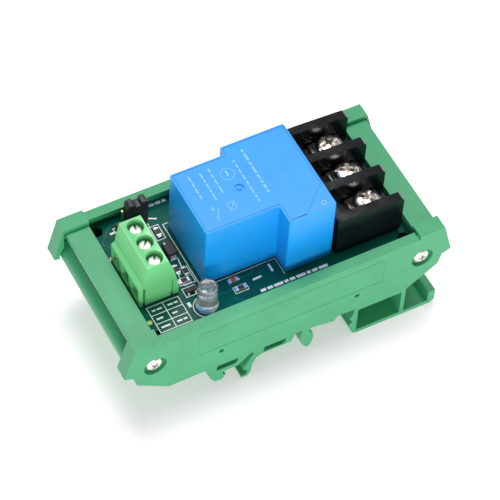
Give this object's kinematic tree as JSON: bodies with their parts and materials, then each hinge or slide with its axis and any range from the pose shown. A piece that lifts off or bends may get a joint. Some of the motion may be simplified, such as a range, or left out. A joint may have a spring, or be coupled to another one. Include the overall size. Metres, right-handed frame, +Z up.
{
  "type": "relay module",
  "caption": "Relay module on a DIN-rail board carrier, with a sealed relay, a barrier block, a screw terminal, a jumper and a status lamp.",
  "frame": {"origin": "centre of the bounding box, at the level of the undersides of the ribbed feet", "axes": "+X along the board from the green signal terminal to the black power terminals, +Y along the rail, +Z up away from the rail"},
  "size_m": [0.09, 0.0434, 0.0466],
  "materials": {
    "carrier_green": "moulded, satin",
    "board_green": "solder mask, glossy",
    "relay_blue": "moulded, satin",
    "black_plastic": "moulded, satin",
    "terminal_green": "moulded, smooth",
    "nickel_steel": "nickel plated",
    "tinned_copper": "tin plated",
    "copper_wire": "copper, bare or enamelled",
    "soft_iron": "plated soft iron",
    "brass": "plain brass",
    "natural_nylon": "natural nylon",
    "clear_epoxy": "clear cast epoxy",
    "red_epoxy": "tinted epoxy"
  },
  "bodies": {
    "carrier": {"profile_tray": "carrier_green", "side_plate_near": "carrier_green", "side_plate_far": "carrier_green", "plate_screw_1": "nickel_steel", "plate_screw_2": "nickel_steel", "plate_screw_3": "nickel_steel", "plate_screw_4": "nickel_steel", "pcb": "board_green", "resistor_1": "black_plastic", "resistor_2": "black_plastic", "resistor_3": "black_plastic", "resistor_4": "black_plastic", "resistor_5": "black_plastic", "flyback_diode": "black_plastic", "driver_transistor": "black_plastic", "power_led_chip": "red_epoxy", "status_led_lens": "clear_epoxy", "status_led_lead_1": "tinned_copper", "status_led_lead_2": "tinned_copper", "header_base": "black_plastic", "header_pin_1": "brass", "header_pin_2": "brass", "header_pin_3": "brass", "relay_case": "relay_blue", "relay_base": "black_plastic", "relay_bobbin": "natural_nylon", "relay_coil": "copper_wire", "relay_core": "soft_iron", "relay_yoke": "soft_iron", "relay_return_leaf": "brass", "relay_contact_no": "copper_wire", "relay_contact_nc": "copper_wire", "relay_common_strip": "copper_wire", "relay_coil_pin_1": "tinned_copper", "relay_coil_pin_2": "tinned_copper", "barrier_body": "black_plastic", "barrier_plate_1": "nickel_steel", "barrier_plate_2": "nickel_steel", "barrier_plate_3": "nickel_steel", "terminal_housing": "terminal_green", "terminal_pin_1": "tinned_copper", "terminal_pin_2": "tinned_copper", "terminal_pin_3": "tinned_copper"},
    "armature": {"relay_armature": "soft_iron", "relay_contact_blade": "copper_wire"},
    "jumper": {"jumper_cap": "black_plastic", "jumper_clip": "brass"},
    "barrier_clamp_1": {"barrier_clamp_1": "nickel_steel"},
    "barrier_clamp_2": {"barrier_clamp_2": "nickel_steel"},
    "barrier_clamp_3": {"barrier_clamp_3": "nickel_steel"},
    "barrier_screw_1": {"barrier_screw_1": "nickel_steel"},
    "barrier_screw_2": {"barrier_screw_2": "nickel_steel"},
    "barrier_screw_3": {"barrier_screw_3": "nickel_steel"},
    "terminal_screw_1": {"terminal_screw_1": "nickel_steel"},
    "terminal_screw_2": {"terminal_screw_2": "nickel_steel"},
    "terminal_screw_3": {"terminal_screw_3": "nickel_steel"},
    "terminal_cage_1": {"terminal_cage_1": "brass"},
    "terminal_cage_2": {"terminal_cage_2": "brass"},
    "terminal_cage_3": {"terminal_cage_3": "brass"}
  },
  "joints": [
    {"name": "armature_swing", "type": "hinge", "parent": "carrier", "child": "armature", "pos_m": [-0.014, 0.00145, 0.04265], "axis": [0, 1, 0], "range_deg": [0, 2.7], "stiffness_Nm_per_rad": 0.02, "springref_deg": -5.73},
    {"name": "jumper_pull", "type": "slide", "parent": "carrier", "child": "jumper", "axis": [0, 0, 1], "range_m": [0, 0.0085]},
    {"name": "barrier_clamp_1_lift", "type": "slide", "parent": "carrier", "child": "barrier_clamp_1", "axis": [0, 0, 1], "range_m": [0, 0.0035]},
    {"name": "barrier_clamp_2_lift", "type": "slide", "parent": "carrier", "child": "barrier_clamp_2", "axis": [0, 0, 1], "range_m": [0, 0.0035]},
    {"name": "barrier_clamp_3_lift", "type": "slide", "parent": "carrier", "child": "barrier_clamp_3", "axis": [0, 0, 1], "range_m": [0, 0.0035]},
    {"name": "barrier_screw_1_turn", "type": "hinge", "parent": "barrier_clamp_1", "child": "barrier_screw_1", "pos_m": [0.0269, -0.00835, 0.0343], "axis": [0, 0, 1], "range_deg": [0, 1800]},
    {"name": "barrier_screw_2_turn", "type": "hinge", "parent": "barrier_clamp_2", "child": "barrier_screw_2", "pos_m": [0.0269, 0.00115, 0.0343], "axis": [0, 0, 1], "range_deg": [0, 1800]},
    {"name": "barrier_screw_3_turn", "type": "hinge", "parent": "barrier_clamp_3", "child": "barrier_screw_3", "pos_m": [0.0269, 0.01065, 0.0343], "axis": [0, 0, 1], "range_deg": [0, 1800]},
    {"name": "terminal_screw_1_turn", "type": "hinge", "parent": "carrier", "child": "terminal_screw_1", "pos_m": [-0.02925, -0.00526, 0.0383], "axis": [0, 0, -1], "range_deg": [0, 1440]},
    {"name": "terminal_screw_2_turn", "type": "hinge", "parent": "carrier", "child": "terminal_screw_2", "pos_m": [-0.02925, -0.00018, 0.0383], "axis": [0, 0, -1], "range_deg": [0, 1440]},
    {"name": "terminal_screw_3_turn", "type": "hinge", "parent": "carrier", "child": "terminal_screw_3", "pos_m": [-0.02925, 0.0049, 0.0383], "axis": [0, 0, -1], "range_deg": [0, 1440]},
    {"name": "terminal_cage_1_rise", "type": "slide", "parent": "carrier", "child": "terminal_cage_1", "axis": [0, 0, 1], "range_m": [0, 0.0018]},
    {"name": "terminal_cage_2_rise", "type": "slide", "parent": "carrier", "child": "terminal_cage_2", "axis": [0, 0, 1], "range_m": [0, 0.0018]},
    {"name": "terminal_cage_3_rise", "type": "slide", "parent": "carrier", "child": "terminal_cage_3", "axis": [0, 0, 1], "range_m": [0, 0.0018]}
  ],
  "couplings": [
    {"joint": "barrier_screw_1_turn", "follows": "barrier_clamp_1_lift", "rad_per_m": 8975},
    {"joint": "barrier_screw_2_turn", "follows": "barrier_clamp_2_lift", "rad_per_m": 8975},
    {"joint": "barrier_screw_3_turn", "follows": "barrier_clamp_3_lift", "rad_per_m": 8975},
    {"joint": "terminal_screw_1_turn", "follows": "terminal_cage_1_rise", "rad_per_m": 13960},
    {"joint": "terminal_screw_2_turn", "follows": "terminal_cage_2_rise", "rad_per_m": 13960},
    {"joint": "terminal_screw_3_turn", "follows": "terminal_cage_3_rise", "rad_per_m": 13960}
  ]
}
